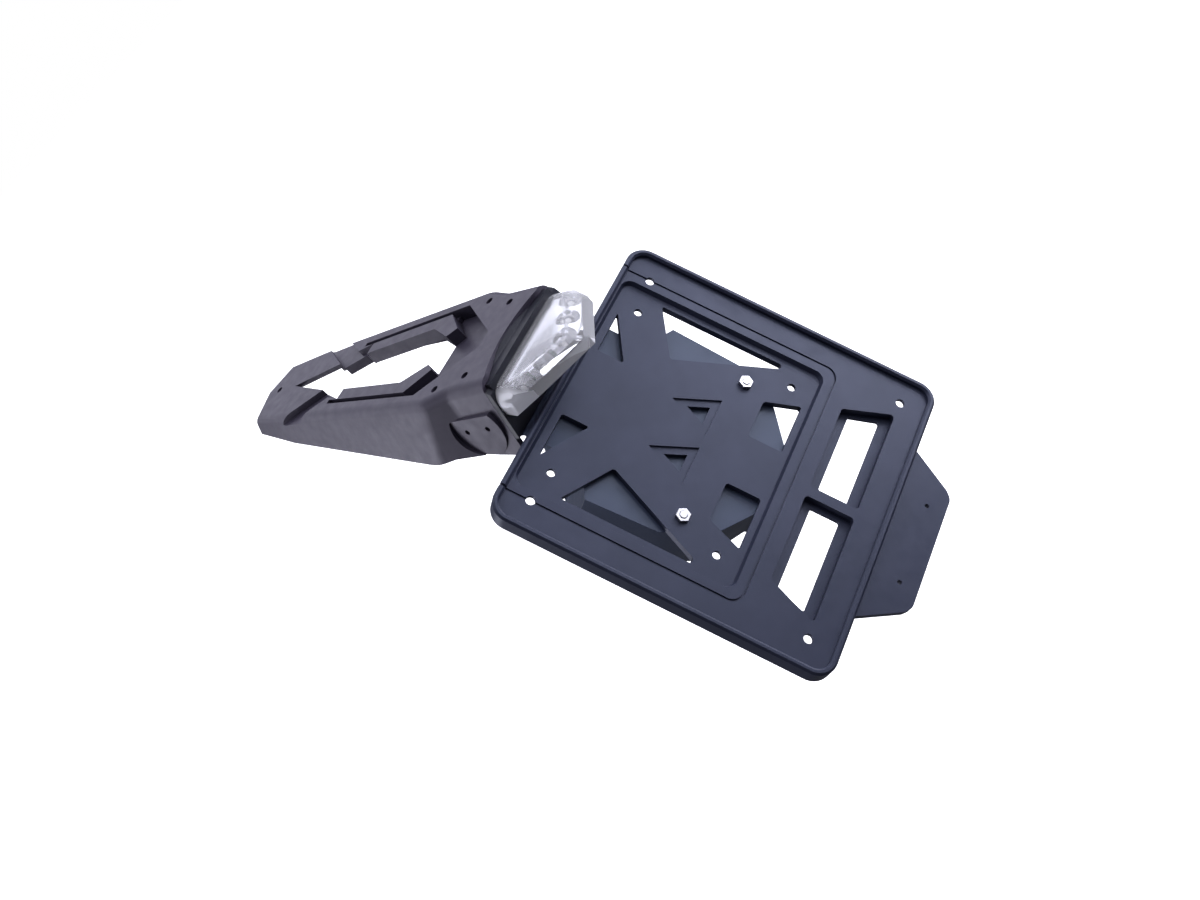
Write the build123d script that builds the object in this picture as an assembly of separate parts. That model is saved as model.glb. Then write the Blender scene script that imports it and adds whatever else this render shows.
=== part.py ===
from build123d import *
import os
from math import atan2, cos, degrees, radians, sin, tan

os.makedirs("parts", exist_ok=True)

# Millimetres and degrees. X is the bike's right, Y forward, Z up.
# The origin is on the tail's deck, midway between the wide pair of bolt holes.

# Tail body, plan at deck level: half widths and where they are
nose_y = 208.0
nose_half = 23.0
nose_corner_y = 199.5
neck_half = 29.0
neck_y = 160.0
hip_half = 42.5
hip_y = 4.0
waist_half = 37.0
waist_y = -18.0
rear_half = 36.0
# Tail body, walls
deck_thick = 3.0
side_wall = 3.0
arm_flare = 20.0
rear_flare = 12.0
hip_turn = 18.0
hip_round = 18.0
shoulder_round = 7.0
# Tail body, depths of the side walls' lower edge
nose_depth = 10.0
hip_depth = 33.7
hip_low_y = 25.0
saddle_depth = 35.0
saddle_low_y = 5.0
waist_depth = 39.3
waist_low_y = -12.0
rear_depth = 44.5
# Seam with the light: an arc in plan
seam_y = -34.5
seam_round = 75.0
tail_end_y = -40.5
lens_seat_y = -43.5
fit_gap = 0.2
# Central opening of the tail
opening_front_y = 173.0
opening_knee_half = 10.5
opening_knee_y = 130.0
opening_step_half = 17.4
opening_step_y = 112.0
strip_front_y = 104.0
strip_front_half = 14.0
strip_rear_half = 20.0
strip_rear_y = 41.0
opening_rear_half = 10.0
opening_rear_y = 22.0
skirt_wall = 2.5
strip_skirt_depth = 8.5
band_skirt_depth = 10.0
band_skirt_y = 107.0
# Groove along each arm, and the band across the neck
groove_wide = 3.0
groove_depth = 5.0
strip_wide = 8.0
groove_front_y = 113.0
band_depth = 4.0
band_rear_half = 18.4
band_rear_y = 117.0
band_run = 1.6
liner_wall = 1.6
# Channel in the saddle, leading to the slot for the light's lead
channel_half = 33.0
channel_y = 18.0
channel_end_half = 5.5
channel_end_y = -18.0
channel_depth = 8.0
strip_turn_back = 10.0
strip_end_out = 5.2
strip_end_back = 6.0
lead_slot_long = 12.0
lead_slot_wide = 4.0
lead_slot_y = -9.6
# Bolt holes in the deck
wide_pair = 64.0
narrow_pair = 52.2
narrow_pair_y = -21.3
deck_hole_r = 2.25
nose_hole_y = 192.0
# Indicator pads on the side walls
pad_x = 43.4
pad_y = -19.8
pad_z = -23.7
pad_r = 17.5
pad_lean = 7.0
pad_top_z = -15.5
pad_hole_pitch = 16.7
pad_hole_r = 1.6
# Bulkhead behind the light
bulkhead_y = -24.0
bulkhead_thick = 3.0
light_screw_pitch = 44.0
light_screw_z = -18.0
light_screw_r = 1.5
light_screw_long = 9.0
light_boss_r = 4.0
lead_hole_r = 4.0
lead_bore_r = 2.2
grommet_lip = 1.5

# Light lens: a faceted prow
lens_half = 38.5
lens_side_long = 8.0
lens_corner_half = 31.0
lens_corner_y = -69.0
lens_corner_round = 9.0
lens_tip_y = -86.5
lens_tip_z = -14.6
lens_top_z = -6.6
lens_top_fall = 4.4
lens_end_round = 10.5
hub_y = -74.0
hub_side_lean = 13.4
hub_back_lean = 23.7
keel_slope = 0.36
keel_rise = 0.25
lens_wall = 1.6
# Reflector with its cups, and the diodes
cup_gap = 0.3
reflector_back = 3.0
reflector_flat = 3.0
cup_pitch = 14.0
cup_count = 5
cup_sides = 12
cup_mouth_r = 6.0
cup_base_r = 2.5
cup_deep = 4.8
cup_skin = 0.8
cup_rise = 40.0
cup_mid_y = -70.0
cup_mid_z = -12.3
cup_sweep = 0.46
led_r = 2.2
led_sides = 12
led_stem = 1.6
led_tip = 1.6
led_tip_slope = 32.0
board_thick = 1.6
board_half = 29.0
board_high = 9.0
board_z = -15.5
board_corner = 3.0
# Light housing
housing_floor_z = -33.8
housing_wall = 2.5
bezel_drop = 1.0
bezel_ledge = 0.5

# Plate holder: a square tray, tilted below the deck
plate_tilt = 52.9
plate_light_gap = 7.9
plate_tuck = 1.7
plate_side = 184.0
plate_corner = 11.0
rim_wide = 3.5
rim_high = 3.0
rim_bevel = 1.1
tray_deep = 7.0
tray_wall = 2.4
field_thick = 2.4
# Inner recess and the thin line round it
recess_wide = 140.0
recess_top = 87.8
recess_bottom = -32.7
recess_deep = 2.8
recess_corner = 6.0
recess_slope = 25.0
line_wide = 1.2
line_deep = 1.0
line_margin = 5.3
# Cut-outs of the recess
skirt_thick = 1.8
cut_flat = 1.0
big_cut_side = 65.5
big_cut_top = 63.0
big_cut_apex = 37.0
big_cut_apex_v = 46.0
big_cut_tip = 3.0
big_cut_bottom = -9.0
small_cut_inner = 22.0
small_cut_outer = 49.0
small_cut_top = 82.3
small_cut_low = 66.8
low_cut_inner = 15.5
low_cut_outer = 39.0
low_cut_spread = 7.5
low_cut_top = -8.2
low_cut_bottom = -27.7
# Stepped triangular pockets in the middle
step_cut_half = 28.0
step_cut_inner = 4.0
step_cut_base = 11.8
step_cut_peak = 16.0
step_cut_high = 24.0
step_cut_deep = 1.2
step_cut_inset = 4.0
# Windows
window_bar = 6.0
window_side = 3.0
window_round = 1.2
window_recess_round = 2.0
window_top = -52.7
window_bottom = -69.2
window_outer_top = 55.0
window_outer_bottom = 61.0
window_margin = 5.5
window_ledge = 2.0
# Screw holes for number plates
plate_pitch = 150.0
plate_hole_r = 2.5
inner_pitch = 110.0
inner_top = 72.8
inner_bottom = -18.6
inner_hole_r = 2.25
boss_wall = 3.0
boss_sides = 8
# Flap
flap_root_half = 52.6
flap_bend_half = 38.0
flap_bend = 22.5
flap_end_half = 34.0
flap_long = 25.7
flap_thick = 4.0
flap_top = -1.0
flap_round = 6.0
flap_hole_pitch = 48.0
flap_hole_drop = 15.2
flap_hole_r = 1.2

# Bracket behind the plate holder
sheet = 1.5
return_deep = 12.0
bracket_bend = 2.0
bracket_top_half = 40.0
bracket_top_drop = 8.0
bracket_neck_v = 62.0
bracket_return_v = 66.0
bracket_wing_v = 52.0
bracket_low_v = 12.0
bracket_vee_v = -15.0
bracket_toe_half = 21.0
bracket_end_half = 18.0
bracket_toe_v = -29.0
bracket_end_v = -36.0
flange_half = 32.0
flange_neck_half = 19.0
flange_shoulder_y = -35.0
flange_neck_y = -27.0
flange_front_y = -4.0
# Bolts through the plate holder and the bracket
bolt_pitch = 88.4
bolt_v = 4.7
bolt_r = 2.0
bolt_gap = 0.2
bolt_proud = 0.5
nut_across = 7.0
nut_high = 2.2
head_across = 7.0
head_high = 2.8
washer_r = 4.0
washer_thick = 0.8
# How far the bracket's corners lie outside the bolts, or inside them
wing_past_bolt = 13.8
low_past_bolt = 11.8
vee_short_of_bolt = 3.2
# Screws that hold the bracket's flange under the tail
tail_screw_pitch = 28.0
tail_screw_y = -13.0
tail_screw_r = 2.5
tail_screw_long = 14.0
tail_head_r = 4.2
tail_head_high = 2.6
tail_socket_across = 3.0
tail_socket_deep = 1.5
tail_washer_r = 5.0
tail_washer_thick = 1.0
insert_r = 3.5
insert_long = 9.0
insert_boss_wall = 2.0
# Sides of the small round pieces
small_sides = 20

# Reach of cutting blocks, and how far cuts run past the faces they open
far = 300.0
bite = 1.0
# The plate's top edge lies just below and behind the light, whatever the plate's size
plate_y = lens_seat_y - plate_light_gap - plate_side / 2 * cos(radians(plate_tilt))
plate_z = housing_floor_z + plate_tuck - plate_side / 2 * sin(radians(plate_tilt))
bracket_fold_z = housing_floor_z - fit_gap
bracket_wing_half = bolt_pitch / 2 + wing_past_bolt
plate_plane = Plane(
    origin=(0, plate_y, plate_z),
    x_dir=(1, 0, 0),
    z_dir=(0, -sin(radians(plate_tilt)), cos(radians(plate_tilt))),
)
on_plate = plate_plane.location


def outline(points):
    """Face inside a closed run of straight edges."""
    return make_face(Polyline(*points, close=True))


def mirrored_outline(points):
    """Face that is alike left and right, from the points of its right half."""
    left = [(-x, y) for x, y in reversed(points) if x > 0]
    return outline([*points, *left])


def slab(face, low, high):
    """Prism of a flat face between two heights."""
    return extrude(Pos(0, 0, low) * face, amount=high - low, dir=(0, 0, 1))


def both_sides(shape):
    """A shape and its mirror image on the other side of the bike."""
    return shape + mirror(shape, about=Plane.YZ)


def rod(x, y, r, low, high):
    """Upright cylinder between two heights."""
    return Pos(x, y, low) * Cylinder(r, high - low, align=(Align.CENTER, Align.CENTER, Align.MIN))


def along_y(x, z, r, y_low, y_high):
    """Cylinder that points forward, between two places."""
    tube = Cylinder(r, y_high - y_low, align=(Align.CENTER, Align.CENTER, Align.MIN))
    return Pos(x, y_high, z) * Rot(90, 0, 0) * tube


def prism_rod(x, y, across, sides, low, high):
    """Upright prism on a regular polygon, given its size across flats."""
    return Pos(x, y, 0) * slab(RegularPolygon(across / 2, sides, major_radius=False), low, high)


def small_rod(x, y, r, low, high):
    """Upright small round piece, with few sides and its corners on the circle."""
    return Pos(x, y, 0) * slab(RegularPolygon(r, small_sides), low, high)


def grown(face, margin):
    """Face with a margin round it and its corners kept sharp."""
    return offset(face, margin, kind=Kind.INTERSECTION)


def beyond(point, normal):
    """Block that fills the space on the far side of a plane."""
    block = Box(2 * far, 2 * far, far, align=(Align.CENTER, Align.CENTER, Align.MIN))
    return Plane(origin=point, z_dir=normal).location * block


def band_between(x_low, x_high, y_low, y_high, z_low, z_high):
    """Box from its corner limits."""
    middle = ((x_low + x_high) / 2, (y_low + y_high) / 2, (z_low + z_high) / 2)
    return Pos(*middle) * Box(x_high - x_low, y_high - y_low, z_high - z_low)


# Tail body
front_plan = [(0, nose_y), (nose_half, nose_corner_y), (neck_half, neck_y), (hip_half, hip_y)]
rear_plan = [(waist_half, waist_y), (rear_half, lens_seat_y)]


def outside_wall(start, end, flare, inset):
    """Blocks beyond a wall and its mirror image. The wall leans out as it goes down."""
    across = Vector(start[1] - end[1], end[0] - start[0]).normalized()
    normal = Vector(across.X, across.Y, tan(radians(flare))).normalized()
    return both_sides(beyond(Vector(*start) - normal * inset, normal))


def tail_form(inset):
    """Tail between its walls: flared arms that end in hips, and a narrower rear."""
    block = slab(Rectangle(far, 2 * far), -2 * rear_depth, 0)
    arms = block
    for start, end in zip(front_plan, front_plan[1:]):
        arms -= outside_wall(start, end, arm_flare, inset)
    hip_start = (hip_half, hip_y)
    hip_end = (hip_half - sin(radians(hip_turn)), hip_y - cos(radians(hip_turn)))
    arms -= outside_wall(hip_start, hip_end, rear_flare, inset)
    rear = block - outside_wall(*rear_plan, rear_flare, inset)
    return arms + (rear - beyond((0, hip_y, 0), (0, 1, 0)))


side_view = extrude(Plane.YZ * outline([
    (far, far),
    (far, -nose_depth),
    (nose_y, -nose_depth),
    (hip_low_y, -hip_depth),
    (saddle_low_y, -saddle_depth),
    (waist_low_y, -waist_depth),
    (lens_seat_y, -rear_depth),
    (-far, -rear_depth),
    (-far, far),
]), amount=far, both=True)


def tail_envelope():
    """Outside of the tail and the light's surround as one block."""
    block = tail_form(0) - beyond((0, lens_seat_y, 0), (0, -1, 0))
    upright = [e for e in block.edges() if abs((e @ 1 - e @ 0).Z) > rear_depth]
    hips = [e for e in upright if lens_seat_y + bite < e.center().Y < hip_low_y]
    block = fillet(hips, hip_round) & side_view
    shoulder = [e for e in block.edges() if e.center().Z > -0.01 and e.center().Y > lens_seat_y + bite]
    return fillet(shoulder, shoulder_round)


def tail_cavity(gap=0.0):
    """Space between the tail's walls, under its deck."""
    return tail_form(side_wall + gap) - beyond((0, 0, -deck_thick - gap), (0, 0, 1))


opening = mirrored_outline([
    (0, opening_front_y),
    (opening_knee_half, opening_knee_y),
    (opening_step_half, opening_step_y),
    (strip_front_half, strip_front_y),
    (strip_rear_half, strip_rear_y),
    (opening_rear_half, opening_rear_y),
])
strip_lean = (strip_rear_half - strip_front_half) / (strip_front_y - strip_rear_y)


def strip_x(y, across):
    """Distance from the middle of a line that runs beside the opening's edge."""
    return strip_front_half + strip_lean * (strip_front_y - y) + across


def groove_face():
    """Groove between the strip beside the opening and the flank of the right arm."""
    inner = strip_wide
    outer = strip_wide + groove_wide
    return outline([
        (strip_x(groove_front_y, inner), groove_front_y),
        (strip_x(groove_front_y, outer), groove_front_y),
        (strip_x(channel_y, outer), channel_y),
        (strip_x(channel_y, inner), channel_y),
    ])


def band_face():
    """Lowered band across the right side of the neck."""
    run_x = band_run * (neck_half - opening_knee_half)
    run_y = band_run * (neck_y - opening_knee_y)
    return outline([
        (opening_knee_half, opening_knee_y),
        (opening_knee_half + run_x, opening_knee_y + run_y),
        (band_rear_half + run_x, band_rear_y + run_y),
        (band_rear_half, band_rear_y),
        (strip_x(strip_front_y, strip_wide), strip_front_y),
        (strip_front_half - skirt_wall, strip_front_y),
        (opening_knee_half - skirt_wall, opening_knee_y),
    ])


def channel_face():
    """Sunken triangle in the saddle, round the rear ends of the strips."""
    turn_y = strip_rear_y - strip_turn_back
    return mirrored_outline([
        (0, opening_rear_y + bite),
        (opening_rear_half, opening_rear_y + bite),
        (opening_rear_half + strip_end_out, opening_rear_y - strip_end_back),
        (strip_x(turn_y, strip_wide), turn_y),
        (strip_x(turn_y, strip_wide + groove_wide), turn_y),
        (channel_half, channel_y),
        (channel_end_half, channel_end_y),
    ])


def lined(face, depth):
    """Moulded lining under a sunken place in the deck."""
    return slab(grown(face, liner_wall), -depth - liner_wall, -deck_thick + bite)


envelope = tail_envelope()
seam = Pos(0, seam_y - seam_round) * Circle(seam_round)
seam_low = -2 * rear_depth


on_pad = Pos(pad_x, pad_y, pad_z) * Rot(0, 90 - pad_lean, 0)


def build_tail_body():
    hollow = tail_cavity()
    ring = grown(opening, skirt_wall)
    hollow -= slab(ring, -strip_skirt_depth, 0) & band_between(-far, far, -far, band_skirt_y, -far, 0)
    across_neck = band_between(-far, far, band_skirt_y, opening_knee_y, -far, 0)
    hollow -= slab(ring, -band_skirt_depth, 0) & across_neck
    hollow -= both_sides(lined(groove_face(), groove_depth) + lined(band_face(), band_depth))
    hollow -= lined(channel_face(), channel_depth)
    hollow -= band_between(-far, far, bulkhead_y - bulkhead_thick, bulkhead_y, bracket_fold_z, 0)
    for x in (-tail_screw_pitch / 2, tail_screw_pitch / 2):
        hollow -= rod(x, tail_screw_y, insert_r + insert_boss_wall, bracket_fold_z, 0)
    under_top = side_view & band_between(-far, far, -far, far, -far, pad_top_z)
    pads = both_sides(on_pad * rod(0, 0, pad_r, -side_wall, 0)) & under_top
    clear = both_sides(on_pad * rod(0, 0, pad_r, 0, pad_r)) & under_top
    body = (envelope + pads) - clear - (hollow - pads)
    body -= slab(opening, -far, far)
    body -= both_sides(slab(groove_face(), -groove_depth, far) + slab(band_face(), -band_depth, far))
    body -= slab(channel_face(), -channel_depth, far)
    body -= slab(Pos(0, lead_slot_y) * SlotOverall(lead_slot_long, lead_slot_wide, rotation=90), -far, far)
    body -= slab(offset(seam, fit_gap), seam_low, far)
    body -= beyond((0, tail_end_y, 0), (0, -1, 0))
    holes = [(0, nose_hole_y)]
    for x in (-0.5, 0.5):
        holes += [(x * wide_pair, 0), (x * narrow_pair, narrow_pair_y)]
    for x, y in holes:
        body -= rod(x, y, deck_hole_r, -far, far)
    for x in (-tail_screw_pitch / 2, tail_screw_pitch / 2):
        body -= rod(x, tail_screw_y, insert_r, bracket_fold_z - far, bracket_fold_z + tail_screw_long)
    for y in (-pad_hole_pitch / 2, pad_hole_pitch / 2):
        body -= both_sides(on_pad * rod(0, y, pad_hole_r, -side_wall - bite, bite))
    for x in (-light_screw_pitch / 2, light_screw_pitch / 2):
        hole_r = light_screw_r + fit_gap
        body -= along_y(x, light_screw_z, hole_r, bulkhead_y - bulkhead_thick - bite, bulkhead_y + bite)
    body -= along_y(0, light_screw_z, lead_hole_r, bulkhead_y - bulkhead_thick - bite, bulkhead_y + bite)
    return body


# Light lens and what lies inside it
def prow(inset, soften=fillet, corner=lens_corner_round):
    """Form of the lens, shrunk by an inset, with fillets or flats at its corners."""
    front_y = lens_seat_y + 3 * lens_wall
    plan = mirrored_outline([
        (lens_half, front_y),
        (lens_half, lens_seat_y - lens_side_long),
        (lens_corner_half, lens_corner_y),
        (0, lens_tip_y),
    ])
    bends = [v for v in plan.vertices() if lens_tip_y + bite < v.Y < front_y - bite]
    plan = soften(bends, corner)
    low = 2 * lens_tip_z + lens_top_z
    if inset:
        plan = offset(plan, -inset)
    body = slab(plan, low, 0)
    end_view = Pos(0, lens_top_z - inset - lens_half) * Rectangle(2 * (lens_half - inset), 2 * lens_half)
    end_view = soften(end_view.vertices(), lens_end_round - inset)
    body = body & extrude(Plane.XZ * end_view, amount=far, both=True)
    fall = radians(lens_top_fall)
    top_normal = (0, -sin(fall), cos(fall))
    body -= beyond((0, lens_seat_y, lens_top_z - inset / cos(fall)), top_normal)
    hub_z = lens_top_z - (lens_seat_y - hub_y) * tan(fall)
    back = radians(hub_back_lean)
    side = radians(hub_side_lean)
    for way in (-1, 1):
        normal = Vector(way * sin(side), -sin(back), cos(back)).normalized()
        body -= beyond(Vector(0, hub_y, hub_z) - normal * inset, normal)
        under = Vector(way * keel_rise, -keel_slope, -1).normalized()
        body -= beyond(Vector(0, lens_tip_y, lens_tip_z) - under * inset, under)
    return body


def build_light_lens():
    shell = prow(0) - prow(lens_wall)
    return shell - beyond((0, lens_seat_y, 0), (0, 1, 0))


cup_turn = Rot(90 - cup_rise, 0, 0)


def cup_places():
    """Mouth centres of the reflector's cups, swept back in a vee."""
    places = []
    for i in range(cup_count):
        x = (i - (cup_count - 1) / 2) * cup_pitch
        places.append(Pos(x, cup_mid_y + cup_sweep * abs(x), cup_mid_z) * cup_turn)
    return places


def cup(margin):
    """Faceted cup that narrows from its mouth to its base, with a margin round it."""
    slope = degrees(atan2(cup_mouth_r - cup_base_r, cup_deep))
    mouth = RegularPolygon(cup_mouth_r + margin, cup_sides, major_radius=False)
    return Rot(180, 0, 0) * extrude(mouth, amount=cup_deep, dir=(0, 0, 1), taper=slope)


def build_light_reflector():
    gap = lens_wall + cup_gap
    front = beyond((0, lens_seat_y - reflector_back, 0), (0, 1, 0))
    form = prow(gap, chamfer, reflector_flat) - front
    shell = form - prow(gap + cup_skin, chamfer, reflector_flat)
    for place in cup_places():
        shell += form & (place * cup(cup_skin))
    for place in cup_places():
        shell -= place * cup(0)
        shell -= place * prism_rod(0, 0, 2 * cup_mouth_r, cup_sides, 0, far)
    return shell


def build_leds():
    diodes = []
    for place in cup_places():
        stem = prism_rod(0, 0, 2 * led_r, led_sides, 0, led_stem)
        top = RegularPolygon(led_r, led_sides, major_radius=False)
        tip = Pos(0, 0, led_stem) * extrude(top, amount=led_tip, dir=(0, 0, 1), taper=led_tip_slope)
        diodes.append(place * Pos(0, 0, -cup_deep) * (stem + tip))
    return diodes


board_seat_y = lens_seat_y + board_thick


def build_led_board():
    face = Pos(0, board_z) * Rectangle(2 * board_half, board_high)
    face = chamfer(face.vertices(), board_corner)
    return extrude(Plane.XZ.offset(-board_seat_y) * face, amount=board_thick)


def build_light_housing():
    rear_end = beyond((0, tail_end_y - fit_gap, 0), (0, -1, 0))
    behind_seam = slab(seam, housing_floor_z, far)
    behind_tail = rear_end & slab(Rectangle(far, far), housing_floor_z, far)
    block = envelope & (behind_seam + behind_tail)
    bezel_run = seam_y - lens_seat_y - bezel_ledge
    bezel_fall = bezel_drop + lens_top_z
    block -= beyond((0, seam_y, -bezel_drop), (0, bezel_fall, bezel_run))
    tongue = tail_cavity(fit_gap) & band_between(
        -far, far, lens_seat_y, bulkhead_y - bulkhead_thick, housing_floor_z, 0)
    block += tongue
    room_front_y = bulkhead_y - bulkhead_thick - housing_wall
    room = prow(lens_wall) & band_between(-far, far, lens_seat_y - bite, room_front_y, -far, 0)
    for x in (-light_screw_pitch / 2, light_screw_pitch / 2):
        back = bulkhead_y - light_screw_long
        room -= along_y(x, light_screw_z, light_boss_r, board_seat_y, bulkhead_y)
        block -= along_y(x, light_screw_z, light_screw_r, back, bulkhead_y)
    return block - room


# Plate holder, drawn flat: x across, y up the plate, z out of its face
def softened_outline(points, size, soften):
    """Face inside a closed run of straight edges, with fillets or flats at its corners."""
    return soften(outline(points).vertices(), size)


big_cut = [
    (big_cut_side, big_cut_top),
    (big_cut_apex, big_cut_apex_v),
    (big_cut_side - big_cut_tip, big_cut_bottom),
    (big_cut_side, big_cut_bottom),
]
small_cut = [
    (small_cut_inner, small_cut_top),
    (small_cut_outer, small_cut_top),
    (small_cut_inner, small_cut_low),
]
low_cut = [
    (low_cut_inner, low_cut_top),
    (low_cut_outer, low_cut_top),
    (low_cut_outer + low_cut_spread, low_cut_bottom),
    (low_cut_inner, low_cut_bottom),
]
step_cut = outline([
    (step_cut_inner, step_cut_base),
    (step_cut_half, step_cut_base),
    (step_cut_peak, step_cut_base + step_cut_high),
])
window = [
    (window_bar / 2 + window_side, window_top),
    (window_outer_top, window_top),
    (window_outer_bottom, window_bottom),
    (window_bar / 2 + window_side, window_bottom),
]
window_recess = [
    (window_bar / 2, window_top + window_margin),
    (window_outer_top, window_top + window_margin),
    (window_outer_bottom + window_margin, window_bottom - window_margin),
    (window_bar / 2, window_bottom - window_margin),
]
recess = Pos(0, (recess_top + recess_bottom) / 2) * RectangleRounded(
    recess_wide, recess_top - recess_bottom, recess_corner)


bolt_places = [(-bolt_pitch / 2, bolt_v), (bolt_pitch / 2, bolt_v)]


def plate_holes():
    """Places and radii of the holes for number plates and for the bracket's bolts."""
    square = [(x * plate_pitch / 2, v * plate_pitch / 2, plate_hole_r) for x in (-1, 1) for v in (-1, 1)]
    inner = [(x * inner_pitch / 2, v, inner_hole_r) for x in (-1, 1) for v in (inner_bottom, inner_top)]
    bolts = [(x, v, bolt_r + bolt_gap) for x, v in bolt_places]
    return square + inner + bolts


def line_ring():
    """Thin line round the recess, open at the top where it runs out through the rim."""
    reach = plate_side
    low = recess_bottom - line_margin
    wide = recess_wide + 2 * line_margin
    place = Pos(0, low + reach / 2)
    outer = place * RectangleRounded(wide + line_wide, reach + line_wide, recess_corner + line_wide)
    inner = place * RectangleRounded(wide - line_wide, reach - line_wide, recess_corner)
    return outer - inner


def plate_hollow():
    """Space behind the face, between the skirts and bosses."""
    inside = plate_side - 2 * tray_wall
    hollow = slab(RectangleRounded(inside, inside, plate_corner - tray_wall), -tray_deep, -field_thick)
    hollow -= slab(recess, -recess_deep - field_thick, 0)
    for cut in (big_cut, small_cut, low_cut, window_recess):
        hollow -= both_sides(slab(grown(outline(cut), skirt_thick), -tray_deep, 0))
    for x, v in bolt_places:
        hollow -= prism_rod(x, v, 2 * (bolt_r + bolt_gap + boss_wall), boss_sides, -tray_deep, 0)
    return hollow


def plate_flap():
    """Flap that hangs from the lower edge."""
    root = -plate_side / 2
    face = mirrored_outline([
        (flap_root_half, root + tray_wall / 2),
        (flap_root_half, root),
        (flap_bend_half, root - flap_bend),
        (flap_end_half, root - flap_long),
    ])
    corners = [v for v in face.vertices() if v.Y < root - bite]
    flap = slab(fillet(corners, flap_round), flap_top - flap_thick, flap_top)
    for x in (-flap_hole_pitch / 2, flap_hole_pitch / 2):
        flap -= rod(x, root - flap_hole_drop, flap_hole_r, -far, far)
    return flap


def build_plate_holder():
    tray = slab(RectangleRounded(plate_side, plate_side, plate_corner), -tray_deep, rim_high)
    field = plate_side - 2 * rim_wide
    tray -= slab(RectangleRounded(field, field, plate_corner - rim_wide), 0, rim_high)
    tray = chamfer(tray.faces().sort_by(Axis.Z)[-1].edges(), rim_bevel)
    tray -= plate_hollow()
    tray -= extrude(recess, amount=recess_deep, dir=(0, 0, -1), taper=recess_slope)
    tray -= slab(line_ring(), -line_deep, rim_high)
    for cut in (big_cut, small_cut, low_cut):
        tray -= both_sides(slab(softened_outline(cut, cut_flat, chamfer), -tray_deep, 0))
    tray -= both_sides(slab(softened_outline(window, window_round, fillet), -tray_deep, 0))
    ledge = softened_outline(window_recess, window_recess_round, fillet)
    tray -= both_sides(slab(ledge, -tray_deep + window_ledge, 0))
    tray -= both_sides(slab(step_cut, -recess_deep - step_cut_deep, 0))
    tray -= both_sides(slab(offset(step_cut, -step_cut_inset), -tray_deep, 0))
    for x, v, r in plate_holes():
        tray -= rod(x, v, r, -far, far)
    return on_plate * (tray + plate_flap())


# Bracket: one sheet, folded forward under the tail
def plate_point(v, h):
    """Forward and upward place of a point up the plate and out of its face."""
    tilt = radians(plate_tilt)
    return plate_y + v * cos(tilt) - h * sin(tilt), plate_z + v * sin(tilt) + h * cos(tilt)


def fold_y(h, z):
    """Where a plane behind the plate's face reaches a height."""
    tilt = radians(plate_tilt)
    return plate_y + ((z - plate_z) * cos(tilt) - h) / sin(tilt)


bracket_front = -tray_deep
bracket_back = bracket_front - sheet


def build_plate_bracket():
    under_z = bracket_fold_z - sheet
    profile = outline([
        plate_point(bracket_end_v, bracket_front),
        (fold_y(bracket_front, bracket_fold_z), bracket_fold_z),
        (flange_front_y, bracket_fold_z),
        (flange_front_y, under_z),
        (fold_y(bracket_back, under_z), under_z),
        plate_point(bracket_end_v, bracket_back),
    ])
    strip = extrude(Plane.YZ * profile, amount=bracket_wing_half + bite, both=True)
    folds = strip.edges().filter_by(Axis.X).sort_by(Axis.Y)
    outer_fold = [e for e in folds if abs(e.center().Z - bracket_fold_z) < 0.01][0]
    strip = fillet(outer_fold, bracket_bend + sheet)
    folds = strip.edges().filter_by(Axis.X).sort_by(Axis.Y)
    inner_fold = [e for e in folds if abs(e.center().Z - under_z) < 0.01][0]
    strip = fillet(inner_fold, bracket_bend)
    fold_v = (bracket_fold_z - plate_z) / sin(radians(plate_tilt))
    bracket_top_v = plate_side / 2 - bracket_top_drop
    blank = mirrored_outline([
        (flange_half, fold_v + 2 * sheet),
        (flange_half, fold_v - 2 * sheet),
        (bracket_top_half, bracket_top_v),
        (bracket_top_half, bracket_neck_v),
        (bracket_wing_half, bracket_wing_v),
        (bolt_pitch / 2 + low_past_bolt, bracket_low_v),
        (bolt_pitch / 2 - vee_short_of_bolt, bracket_vee_v),
        (bracket_toe_half, bracket_toe_v),
        (bracket_end_half, bracket_end_v),
    ])
    flange = mirrored_outline([
        (flange_neck_half, flange_front_y),
        (flange_neck_half, flange_neck_y),
        (flange_half, flange_shoulder_y),
        (flange_half, fold_y(bracket_back, under_z) - 3 * sheet),
    ])
    upper = slab(flange, under_z - 2 * sheet, bracket_fold_z)
    bracket = strip & (on_plate * slab(blank, 2 * bracket_back, 0) + upper)
    edge = slab(blank, bracket_back - return_deep, bracket_back)
    edge -= slab(offset(blank, -sheet), bracket_back - return_deep, bracket_back)
    edge -= beyond((0, bracket_return_v, 0), (0, 1, 0))
    bracket += on_plate * edge
    for x in (-bolt_pitch / 2, bolt_pitch / 2):
        bracket -= on_plate * rod(x, bolt_v, bolt_r + bolt_gap, -far, 0)
    for x in (-tail_screw_pitch / 2, tail_screw_pitch / 2):
        bracket -= rod(x, tail_screw_y, tail_screw_r + bolt_gap, under_z - bite, bracket_fold_z + bite)
    return bracket


# Fasteners
screw_places = [(-tail_screw_pitch / 2, tail_screw_y), (tail_screw_pitch / 2, tail_screw_y)]
nut_seat = -recess_deep
washer_seat = bracket_back - washer_thick


def build_bracket_nuts():
    return [on_plate * (prism_rod(x, v, nut_across, 6, nut_seat, nut_seat + nut_high)
            - small_rod(x, v, bolt_r, nut_seat, nut_seat + nut_high)) for x, v in bolt_places]


def build_bracket_washers():
    return [on_plate * (small_rod(x, v, washer_r, washer_seat, bracket_back)
            - small_rod(x, v, bolt_r + bolt_gap, washer_seat, bracket_back)) for x, v in bolt_places]


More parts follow.
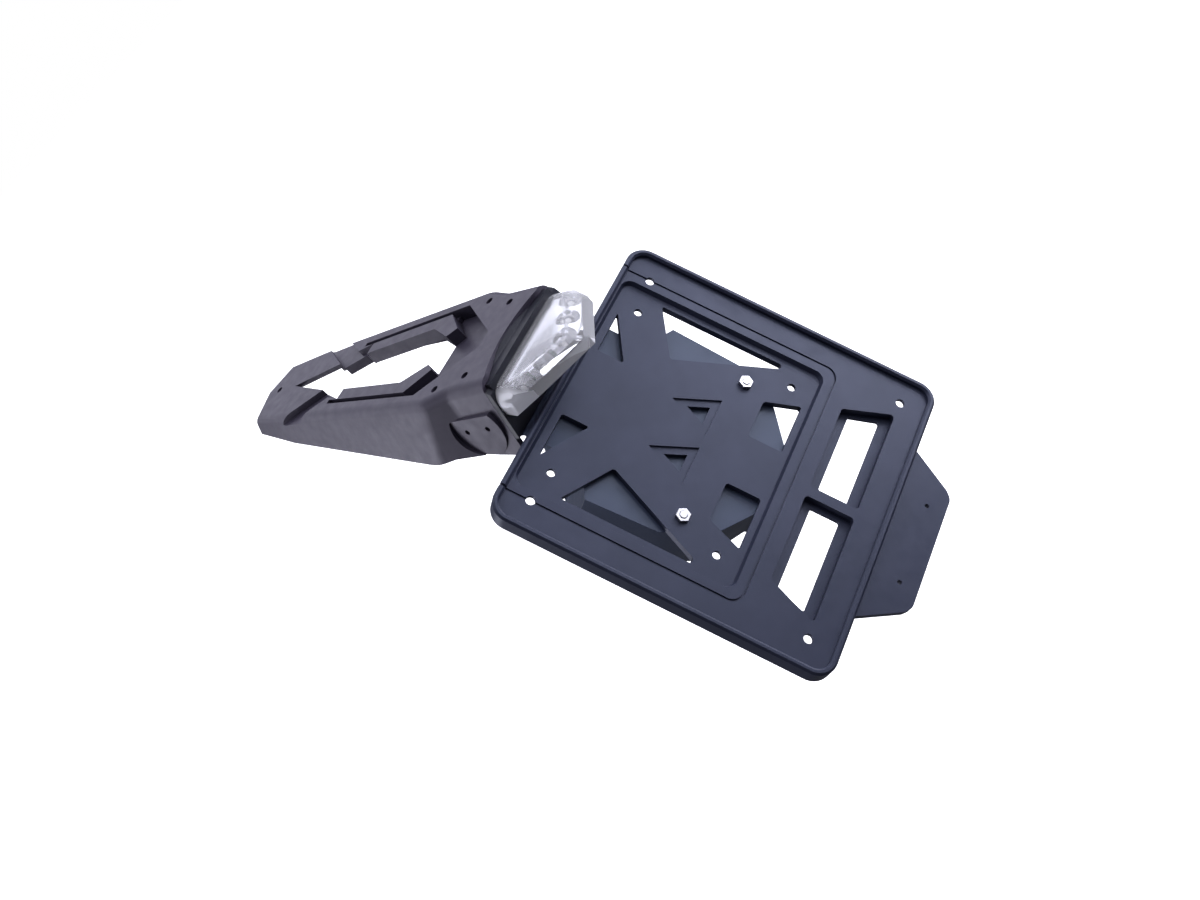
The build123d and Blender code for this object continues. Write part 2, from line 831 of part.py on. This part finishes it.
def build_bracket_bolts():
    top = nut_seat + nut_high + bolt_proud
    return [on_plate * (prism_rod(x, v, head_across, 6, washer_seat - head_high, washer_seat)
            + small_rod(x, v, bolt_r, washer_seat, top)) for x, v in bolt_places]


flange_low = bracket_fold_z - sheet
head_seat = flange_low - tail_washer_thick


def build_tail_washers():
    return [small_rod(x, y, tail_washer_r, head_seat, flange_low)
            - small_rod(x, y, tail_screw_r + bolt_gap, head_seat, flange_low) for x, y in screw_places]


def build_tail_screws():
    low = head_seat - tail_head_high
    top = bracket_fold_z + tail_screw_long - bite
    screws = []
    for x, y in screw_places:
        screw = small_rod(x, y, tail_head_r, low, head_seat)
        screw += small_rod(x, y, tail_screw_r, head_seat, top)
        screws.append(screw - prism_rod(x, y, tail_socket_across, 6, low, low + tail_socket_deep))
    return screws


def build_tail_inserts():
    top = bracket_fold_z + insert_long
    return [small_rod(x, y, insert_r, bracket_fold_z, top)
            - small_rod(x, y, tail_screw_r, bracket_fold_z, top) for x, y in screw_places]


def on_bulkhead(x, piece):
    """A small piece that points forward out of the bulkhead."""
    return Pos(x, bulkhead_y, light_screw_z) * Rot(-90, 0, 0) * piece


def build_light_screws():
    screw = small_rod(0, 0, 2 * light_screw_r, 0, light_screw_r)
    screw += small_rod(0, 0, light_screw_r, -light_screw_long, 0)
    return [on_bulkhead(x, screw) for x in (-light_screw_pitch / 2, light_screw_pitch / 2)]


def build_lead_grommet():
    gland = small_rod(0, 0, lead_hole_r, -bulkhead_thick, 0)
    gland += small_rod(0, 0, lead_hole_r + grommet_lip, 0, grommet_lip)
    return on_bulkhead(0, gland - small_rod(0, 0, lead_bore_r, -bulkhead_thick, grommet_lip))


pieces = {
    "tail_body": build_tail_body(),
    "light_housing": build_light_housing(),
    "light_lens": build_light_lens(),
    "light_reflector": build_light_reflector(),
    "led_board": build_led_board(),
    "leds": build_leds(),
    "light_screws": build_light_screws(),
    "lead_grommet": build_lead_grommet(),
    "plate_holder": build_plate_holder(),
    "plate_bracket": build_plate_bracket(),
    "bracket_bolts": build_bracket_bolts(),
    "bracket_nuts": build_bracket_nuts(),
    "bracket_washers": build_bracket_washers(),
    "tail_screws": build_tail_screws(),
    "tail_washers": build_tail_washers(),
    "tail_inserts": build_tail_inserts(),
}
for name, piece in pieces.items():
    if isinstance(piece, list):
        piece = Compound(children=piece)
    export_step(piece, f"parts/{name}.step")
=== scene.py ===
from math import cos, inf, pi, radians, sin

import bmesh
import bpy
from mathutils import Matrix, Vector


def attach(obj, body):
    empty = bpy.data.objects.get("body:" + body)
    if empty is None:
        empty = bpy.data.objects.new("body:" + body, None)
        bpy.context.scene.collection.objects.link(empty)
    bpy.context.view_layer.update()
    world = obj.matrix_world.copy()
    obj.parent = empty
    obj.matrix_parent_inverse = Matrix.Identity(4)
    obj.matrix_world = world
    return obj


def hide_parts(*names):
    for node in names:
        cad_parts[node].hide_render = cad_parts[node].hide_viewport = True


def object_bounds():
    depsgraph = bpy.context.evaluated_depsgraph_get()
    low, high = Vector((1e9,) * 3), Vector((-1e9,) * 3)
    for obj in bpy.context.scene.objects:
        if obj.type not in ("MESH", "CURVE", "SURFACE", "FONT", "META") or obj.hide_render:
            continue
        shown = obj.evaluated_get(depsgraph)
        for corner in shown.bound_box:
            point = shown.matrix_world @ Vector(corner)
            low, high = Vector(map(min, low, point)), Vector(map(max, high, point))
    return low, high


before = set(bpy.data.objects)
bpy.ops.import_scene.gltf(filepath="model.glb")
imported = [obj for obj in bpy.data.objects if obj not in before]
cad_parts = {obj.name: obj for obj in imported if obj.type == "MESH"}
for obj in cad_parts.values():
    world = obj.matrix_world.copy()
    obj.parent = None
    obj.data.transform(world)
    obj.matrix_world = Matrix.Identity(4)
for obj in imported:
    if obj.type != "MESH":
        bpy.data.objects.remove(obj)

cad_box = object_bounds()

# Metres and degrees, in the frame of the part: X right, Y forward, Z up
camera_place = Vector((-0.3493, -0.5449, 0.2605))
camera_aim = Vector((-0.0098, -0.0387, -0.0837))
camera_roll = -44.03
focal_pixels = 1300.0
image_width = 1200.0
sensor_width = 36.0

# Widths of the softened edges
moulded_edge = 0.00045
folded_edge = 0.0003
polished_edge = 0.0004
ridge_edge = 0.0006
metal_edge = 0.0003
# Edges sharper than this are softened, and edges flatter than the next are shaded as one surface
soften_above = 38.0
smooth_below = 40.0
# Corners this close are one, and faces this nearly in line are one
weld_distance = 0.000002
flat_within = 0.6

# The plate's middle and its slope from level
plate_middle = Vector((0, -0.1069, -0.1055))
plate_tilt = radians(52.9)
# The free edge of the bracket's flanges, and how far back it goes: all along, above the toe, at the shoulder
flange_edge = -0.020
flange_top = 0.067
flange_extra = 0.011
toe_height = -0.020
gusset_extra = 0.014
shoulder_height = 0.055
shoulder_extra = 0.010
# The flanges' upper end, which slants from the fold down to the free edge
sheet_back = -0.0095
flange_end_from = 0.0645
flange_end_drop = 0.0035
flange_rise = 0.018
# The bracket's fold, which is wider behind the tail than between the tail's walls
fold_height = 0.0855
fold_half = 0.030
fold_extra = 0.0079
tail_rear = -0.0475
skirt_extra = 0.0041

# The lens's rim behind its seat, and its lower corner at the two ends
lens_rim_behind = -0.046
lens_rim_drop = 0.0045
lens_end_from = 0.0375
lens_low_below = -0.016
lens_end_round = 0.0025
lens_round_steps = 4
# Slopes that tell the lens's underside and walls from its other faces
underside_slope = -0.5
underside_lean = -0.1
wall_slope = 0.5
frosted_slope = 0.3
# Where the lens turns milky, and how clear it is there
milky_from = 0.031
milky_to = 0.0375
milky_clear = 0.30
# How much the lens bends light, and the shine of polished plastic
lens_bend = 1.49
polished_shine = 0.28
# The way the diodes face, which sets where their stems are painted dark as shade
cup_axis = (0, -0.766, 0.643)

# Floor and light
floor_size = 12.0
floor_drop = 0.12
light_tint = (0.86, 0.87, 1.0)
room_light = 0.13


# Materials
def new_material(name):
    """Empty material with its shader node."""
    material = bpy.data.materials.new(name)
    material.use_nodes = True
    nodes = material.node_tree.nodes
    return material, nodes, material.node_tree.links, nodes["Principled BSDF"]


def noise(nodes, links, scale, detail, place):
    """Noise in the object's own coordinates."""
    coordinates = nodes.new("ShaderNodeTexCoord")
    texture = nodes.new("ShaderNodeTexNoise")
    texture.inputs["Scale"].default_value = scale
    texture.inputs["Detail"].default_value = detail
    links.new(coordinates.outputs["Object"], texture.inputs["Vector"])
    coordinates.location = (-1000, place)
    texture.location = (-800, place)
    return texture.outputs["Fac"]


def shades(nodes, links, factor, low, high, dark, light):
    """Colours between two shades, over a stretch of a noise."""
    ramp = nodes.new("ShaderNodeValToRGB")
    ramp.color_ramp.elements[0].position = low
    ramp.color_ramp.elements[0].color = (*dark, 1)
    ramp.color_ramp.elements[1].position = high
    ramp.color_ramp.elements[1].color = (*light, 1)
    links.new(factor, ramp.inputs["Fac"])
    return ramp.outputs["Color"]


def span(nodes, links, factor, low, high):
    """Numbers between two limits, over the middle of a noise."""
    limits = nodes.new("ShaderNodeMapRange")
    limits.inputs["From Min"].default_value = 0.3
    limits.inputs["From Max"].default_value = 0.7
    limits.inputs["To Min"].default_value = low
    limits.inputs["To Max"].default_value = high
    links.new(factor, limits.inputs["Value"])
    return limits.outputs["Result"]


def relief(nodes, links, shader, height, strength, distance):
    """Fine relief of a surface."""
    bump = nodes.new("ShaderNodeBump")
    bump.inputs["Strength"].default_value = strength
    bump.inputs["Distance"].default_value = distance
    links.new(height, bump.inputs["Height"])
    links.new(bump.outputs["Normal"], shader.inputs["Normal"])


def moulded_plastic(name, dark, light, rough, sheen):
    """Satin plastic with a fine spark-eroded grain and faint flow marks."""
    material, nodes, links, shader = new_material(name)
    flow = noise(nodes, links, 38.0, 3.0, 300)
    links.new(shades(nodes, links, flow, 0.35, 0.65, dark, light), shader.inputs["Base Color"])
    patches = noise(nodes, links, 160.0, 2.0, 0)
    links.new(span(nodes, links, patches, *rough), shader.inputs["Roughness"])
    relief(nodes, links, shader, noise(nodes, links, 2400.0, 2.0, -300), 0.25, 0.00006)
    shader.inputs["Specular Tint"].default_value = (*sheen, 1)
    return material


def polished_plastic(name, dark, light, rough):
    """Glossy plastic with the faint waves of a polished mould."""
    material, nodes, links, shader = new_material(name)
    cloud = noise(nodes, links, 60.0, 2.0, 300)
    links.new(shades(nodes, links, cloud, 0.3, 0.7, dark, light), shader.inputs["Base Color"])
    links.new(span(nodes, links, noise(nodes, links, 220.0, 3.0, 0), *rough), shader.inputs["Roughness"])
    relief(nodes, links, shader, noise(nodes, links, 90.0, 1.0, -300), 0.08, 0.0002)
    shader.inputs["Specular IOR Level"].default_value = polished_shine
    return material


def coated_sheet(name, dark, light, sheen):
    """Smooth powder coat with a slight orange peel."""
    material, nodes, links, shader = new_material(name)
    cloud = noise(nodes, links, 45.0, 2.0, 300)
    links.new(shades(nodes, links, cloud, 0.3, 0.7, dark, light), shader.inputs["Base Color"])
    links.new(span(nodes, links, noise(nodes, links, 140.0, 2.0, 0), 0.30, 0.40), shader.inputs["Roughness"])
    relief(nodes, links, shader, noise(nodes, links, 1100.0, 2.0, -300), 0.2, 0.00008)
    shader.inputs["Specular Tint"].default_value = (*sheen, 1)
    return material


def bright_metal(name, dark, light, rough, grain, depth):
    """Plated or metallised surface."""
    material, nodes, links, shader = new_material(name)
    shader.inputs["Metallic"].default_value = 1.0
    cloud = noise(nodes, links, 120.0, 3.0, 300)
    links.new(shades(nodes, links, cloud, 0.3, 0.7, dark, light), shader.inputs["Base Color"])
    links.new(span(nodes, links, noise(nodes, links, 500.0, 3.0, 0), *rough), shader.inputs["Roughness"])
    relief(nodes, links, shader, noise(nodes, links, grain, 2.0, -300), 0.15, depth)
    return material


def clear_plastic(name, tint, clear, rough):
    """Clear moulded lens, slightly milky, with faint waves."""
    material, nodes, links, shader = new_material(name)
    shader.inputs["Base Color"].default_value = (*tint, 1)
    shader.inputs["Transmission Weight"].default_value = clear
    shader.inputs["IOR"].default_value = lens_bend
    links.new(span(nodes, links, noise(nodes, links, 150.0, 2.0, 0), *rough), shader.inputs["Roughness"])
    relief(nodes, links, shader, noise(nodes, links, 120.0, 1.0, -300), 0.06, 0.0002)
    return material


def milky_ended_plastic(name, tint, clear, rough):
    """Clear moulded lens that turns milky towards its two ends."""
    material = clear_plastic(name, tint, clear, rough)
    nodes = material.node_tree.nodes
    links = material.node_tree.links
    coordinates = nodes.new("ShaderNodeTexCoord")
    axes = nodes.new("ShaderNodeSeparateXYZ")
    links.new(coordinates.outputs["Object"], axes.inputs["Vector"])
    sideways = nodes.new("ShaderNodeMath")
    sideways.operation = "ABSOLUTE"
    links.new(axes.outputs["X"], sideways.inputs[0])
    limits = nodes.new("ShaderNodeMapRange")
    limits.interpolation_type = "SMOOTHSTEP"
    limits.inputs["From Min"].default_value = milky_from
    limits.inputs["From Max"].default_value = milky_to
    limits.inputs["To Min"].default_value = clear
    limits.inputs["To Max"].default_value = milky_clear
    links.new(sideways.outputs["Value"], limits.inputs["Value"])
    links.new(limits.outputs["Result"], nodes["Principled BSDF"].inputs["Transmission Weight"])
    return material


def diode_with_painted_shade(name, stem_shade, tip, axis):
    """Diode with a light tip and a stem painted dark as shade, told apart by the way the surface faces."""
    material, nodes, links, shader = new_material(name)
    surface = nodes.new("ShaderNodeNewGeometry")
    facing = nodes.new("ShaderNodeVectorMath")
    facing.operation = "DOT_PRODUCT"
    facing.inputs[1].default_value = axis
    links.new(surface.outputs["True Normal"], facing.inputs[0])
    # Surfaces facing away from the diode's axis get the dark colour, which is painted shade
    links.new(shades(nodes, links, facing.outputs["Value"], 0.4, 0.7, stem_shade, tip), shader.inputs["Base Color"])
    links.new(span(nodes, links, noise(nodes, links, 220.0, 3.0, 0), 0.05, 0.12), shader.inputs["Roughness"])
    return material


zinc = bright_metal("zinc_plate", (0.58, 0.58, 0.59), (0.70, 0.70, 0.71), (0.24, 0.36), 1500.0, 0.00004)
finishes = {
    "tail_body": moulded_plastic(
        "tail_satin", (0.034, 0.030, 0.046), (0.042, 0.037, 0.056), (0.40, 0.50), (0.95, 0.90, 1.0)),
    "plate_holder": moulded_plastic(
        "plate_satin", (0.020, 0.024, 0.044), (0.026, 0.030, 0.054), (0.36, 0.46), (0.76, 0.82, 1.0)),
    "plate_bracket": coated_sheet(
        "bracket_coat", (0.044, 0.056, 0.092), (0.054, 0.068, 0.108), (0.78, 0.87, 1.0)),
    "light_housing": polished_plastic(
        "surround_gloss", (0.018, 0.019, 0.026), (0.024, 0.025, 0.034), (0.32, 0.42)),
    "light_lens": milky_ended_plastic("lens_clear", (0.99, 0.99, 1.0), 0.84, (0.0, 0.04)),
    "lens_edge": clear_plastic("lens_edge", (0.97, 0.97, 1.0), 0.25, (0.15, 0.25)),
    "light_reflector": bright_metal(
        "reflector_chrome", (0.90, 0.91, 0.94), (0.95, 0.95, 0.97), (0.08, 0.16), 700.0, 0.00003),
    # Diodes: the light tip is their own colour, the dark stem is painted shade
    "leds": diode_with_painted_shade("diode_clear", (0.05, 0.05, 0.06), (0.92, 0.92, 0.88), cup_axis),
    "led_board": polished_plastic("board_green", (0.02, 0.12, 0.05), (0.03, 0.17, 0.08), (0.3, 0.4)),
    "lead_grommet": moulded_plastic(
        "gland_rubber", (0.010, 0.010, 0.011), (0.016, 0.016, 0.017), (0.55, 0.7), (1.0, 1.0, 1.0)),
    "tail_inserts": bright_metal(
        "insert_brass", (0.66, 0.48, 0.20), (0.78, 0.60, 0.30), (0.25, 0.4), 1500.0, 0.00004),
}
bracket_fasteners = ("bracket_bolts", "bracket_nuts", "bracket_washers")
tail_fasteners = ("light_screws", "tail_screws", "tail_washers")
for fastener in bracket_fasteners + tail_fasteners:
    finishes[fastener] = zinc


def apply_modifier(piece, kind, **settings):
    """Adds a modifier with its settings and applies it."""
    step = piece.modifiers.new(kind.lower(), kind)
    for name, value in settings.items():
        setattr(step, name, value)
    bpy.ops.object.modifier_apply(modifier=step.name)


def soft_edged(node, width, segments=2, shape=None, edge_finish=None):
    """Copy of a node with its sharp edges softened, which stands for the node.

    shape changes the copy first, in edit mode. edge_finish goes on its softened edges and frosted walls.
    """
    bpy.ops.object.select_all(action="DESELECT")
    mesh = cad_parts[node].data.copy()
    piece = bpy.data.objects.new(node + "_moulded", mesh)
    bpy.context.scene.collection.objects.link(piece)
    bpy.context.view_layer.objects.active = piece
    piece.select_set(True)
    bpy.ops.mesh.customdata_custom_splitnormals_clear()
    bpy.ops.object.mode_set(mode="EDIT")
    bpy.ops.mesh.select_all(action="SELECT")
    bpy.ops.mesh.remove_doubles(threshold=weld_distance)
    bpy.ops.mesh.dissolve_limited(angle_limit=radians(flat_within))
    if shape:
        shape(mesh)
    bpy.ops.object.mode_set(mode="OBJECT")
    mesh.materials.clear()
    mesh.materials.append(finishes[node])
    if edge_finish:
        mesh.materials.append(edge_finish)
        for face in mesh.polygons:
            face.material_index = int(frosted(face))
    apply_modifier(
        piece, "BEVEL", width=width, segments=segments, limit_method="ANGLE", use_clamp_overlap=True,
        angle_limit=radians(soften_above), material=1 if edge_finish else -1)
    bpy.ops.object.shade_smooth_by_angle(angle=radians(smooth_below))
    apply_modifier(piece, "WEIGHTED_NORMAL", keep_sharp=True)
    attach(piece, "root")
    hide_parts(node)
    return piece


def shape_lens(mesh):
    """Lowers the lens's outer rim behind its seat and rounds its lower corner at each end, in edit mode."""
    form = bmesh.from_edit_mesh(mesh)
    form.normal_update()
    bpy.ops.mesh.select_all(action="DESELECT")
    for face in form.faces:
        if face.normal.z < underside_slope and face.normal.y < underside_lean:
            for corner in face.verts:
                corner.select_set(corner.co.y < lens_rim_behind)
    bmesh.update_edit_mesh(mesh)
    bpy.ops.transform.translate(value=(0, 0, -lens_rim_drop))
    form = bmesh.from_edit_mesh(mesh)
    form.normal_update()
    bpy.ops.mesh.select_all(action="DESELECT")
    for edge in form.edges:
        slopes = sorted(face.normal.z for face in edge.link_faces)
        at_end = min(abs(corner.co.x) for corner in edge.verts) > lens_end_from
        low = max(corner.co.z for corner in edge.verts) < lens_low_below
        under_wall = slopes[0] < underside_slope and abs(slopes[-1]) < wall_slope
        edge.select_set(at_end and low and under_wall)
    form.select_flush_mode()
    bmesh.update_edit_mesh(mesh)
    bpy.ops.mesh.bevel(offset=lens_end_round, segments=lens_round_steps, affect="EDGES", clamp_overlap=False)


def frosted(face):
    """Tells the milky side walls of the lens from its clear facets."""
    return abs(face.normal.z) < frosted_slope and face.normal.y < 0


def move_corners(piece, chosen, shift):
    """Moves the corners of a piece that a test of their place chooses."""
    bpy.ops.object.mode_set(mode="EDIT")
    bpy.ops.mesh.select_all(action="DESELECT")
    bpy.ops.object.mode_set(mode="OBJECT")
    for corner in piece.data.vertices:
        corner.select = chosen(corner.co)
    bpy.ops.object.mode_set(mode="EDIT")
    bpy.ops.transform.translate(value=shift)
    bpy.ops.object.mode_set(mode="OBJECT")


def fill_bracket(bracket):
    """Deepens the bracket's side flanges, more at the top, lengthens them and widens the fold."""
    out = Vector((0, -sin(plate_tilt), cos(plate_tilt)))
    up = Vector((0, cos(plate_tilt), sin(plate_tilt)))

    def height(place):
        return (place - plate_middle).dot(up)

    def depth(place):
        return (place - plate_middle).dot(out)

    def free_edge(place, above):
        return depth(place) < flange_edge and above < height(place) < flange_top

    def flange_end(place):
        at_sheet = depth(place) > sheet_back and abs(place.x) > fold_half
        return at_sheet and flange_end_from < height(place) < flange_top

    def fold(place, side):
        return height(place) > fold_height and side * place.x > fold_half

    move_corners(bracket, lambda place: free_edge(place, -inf), -flange_extra * out)
    move_corners(bracket, lambda place: free_edge(place, toe_height), -gusset_extra * out)
    move_corners(bracket, lambda place: free_edge(place, flange_end_from), -flange_end_drop * up)
    move_corners(bracket, lambda place: free_edge(place, shoulder_height), -shoulder_extra * out)
    move_corners(bracket, flange_end, flange_rise * up)
    for side in (-1, 1):
        widening = Vector((side * fold_extra, 0, 0))
        move_corners(bracket, lambda place: fold(place, side), widening)
        flare = Vector((side * skirt_extra, 0, 0))
        move_corners(bracket, lambda place: fold(place, side) and place.y < tail_rear, flare)


# Every solid gets its finish, and the ones that show get softened edges
for node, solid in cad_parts.items():
    solid.data.materials.clear()
    solid.data.materials.append(finishes[node])
soft_edged("tail_body", moulded_edge)
soft_edged("plate_holder", moulded_edge)
fill_bracket(soft_edged("plate_bracket", folded_edge))
soft_edged("light_housing", polished_edge)
soft_edged("light_lens", ridge_edge, 3, shape_lens, finishes["lens_edge"])
soft_edged("light_reflector", polished_edge)
soft_edged("leds", ridge_edge, 3)
soft_edged("bracket_nuts", metal_edge, 3)
soft_edged("bracket_bolts", metal_edge, 3)

# Floor, which glows white and casts no light on the object
bpy.ops.object.select_all(action="DESELECT")
bpy.ops.mesh.primitive_plane_add(size=floor_size, location=(0, 0, cad_box[0][2] - floor_drop))
floor = bpy.context.object
floor.name = "floor"
paper, nodes, links, shader = new_material("floor_white")
shader.inputs["Base Color"].default_value = (0.9, 0.9, 0.9, 1)
shader.inputs["Roughness"].default_value = 0.9
shader.inputs["Emission Color"].default_value = (1, 1, 1, 1)
shader.inputs["Emission Strength"].default_value = 1.0
floor.data.materials.append(paper)
floor.visible_diffuse = False
floor.visible_glossy = False
floor.visible_transmission = False


# Light
def softbox(name, place, aim, wide, high, brightness):
    """Large flat lamp that points at a place."""
    lamp = bpy.data.lights.new(name, "AREA")
    lamp.shape = "RECTANGLE"
    lamp.size = wide
    lamp.size_y = high
    lamp.color = light_tint
    lamp.energy = pi * wide * high * brightness
    holder = bpy.data.objects.new(name, lamp)
    bpy.context.scene.collection.objects.link(holder)
    holder.location = place
    holder.visible_camera = False
    holder.rotation_euler = (Vector(aim) - Vector(place)).to_track_quat("-Z", "Y").to_euler()


softbox("deck_sheen", (0.25, 1.1, 0.55), (0, 0, -0.02), 1.6, 0.9, 1.25)
softbox("overhead", (0.1, 0.05, 1.2), (0, -0.05, -0.05), 1.0, 1.0, 2.6)
softbox("far_side", (0.95, 0.3, 0.7), (0, -0.05, -0.02), 0.7, 0.7, 2.4)
softbox("near_side", (-0.75, 0.9, 0.35), (0, 0.05, -0.03), 0.9, 0.9, 2.4)
softbox("low_side", (-0.7, 0.72, -0.22), (0, 0.02, -0.04), 0.8, 0.35, 3.6)
softbox("plate_sheen", (1.05, -0.6, 0.1), (0, -0.107, -0.106), 0.9, 0.9, 7.5)
softbox("key", (0.45, -1.0, 0.8), camera_aim, 0.7, 0.7, 2.4)

# Room, which is white to the camera and a dim bluish light to the object
world = bpy.data.worlds.new("studio")
bpy.context.scene.world = world
world.use_nodes = True
nodes = world.node_tree.nodes
links = world.node_tree.links
room = nodes["Background"]
room.inputs["Color"].default_value = (*light_tint, 1)
room.inputs["Strength"].default_value = room_light
backdrop = nodes.new("ShaderNodeBackground")
backdrop.inputs["Color"].default_value = (1, 1, 1, 1)
seen = nodes.new("ShaderNodeLightPath")
choice = nodes.new("ShaderNodeMixShader")
links.new(seen.outputs["Is Camera Ray"], choice.inputs["Fac"])
links.new(room.outputs["Background"], choice.inputs[1])
links.new(backdrop.outputs["Background"], choice.inputs[2])
links.new(choice.outputs["Shader"], nodes["World Output"].inputs["Surface"])
bpy.context.scene.view_settings.view_transform = "Standard"

# Camera
optics = bpy.data.cameras.new("camera")
optics.sensor_width = sensor_width
optics.lens = sensor_width * focal_pixels / image_width
optics.clip_start = 0.01
camera = bpy.data.objects.new("camera", optics)
bpy.context.scene.collection.objects.link(camera)
look = (camera_aim - camera_place).to_track_quat("-Z", "Y").to_matrix().to_4x4()
roll = Matrix.Rotation(radians(camera_roll), 4, "Z")
camera.matrix_world = Matrix.Translation(camera_place) @ look @ roll
bpy.context.scene.camera = camera
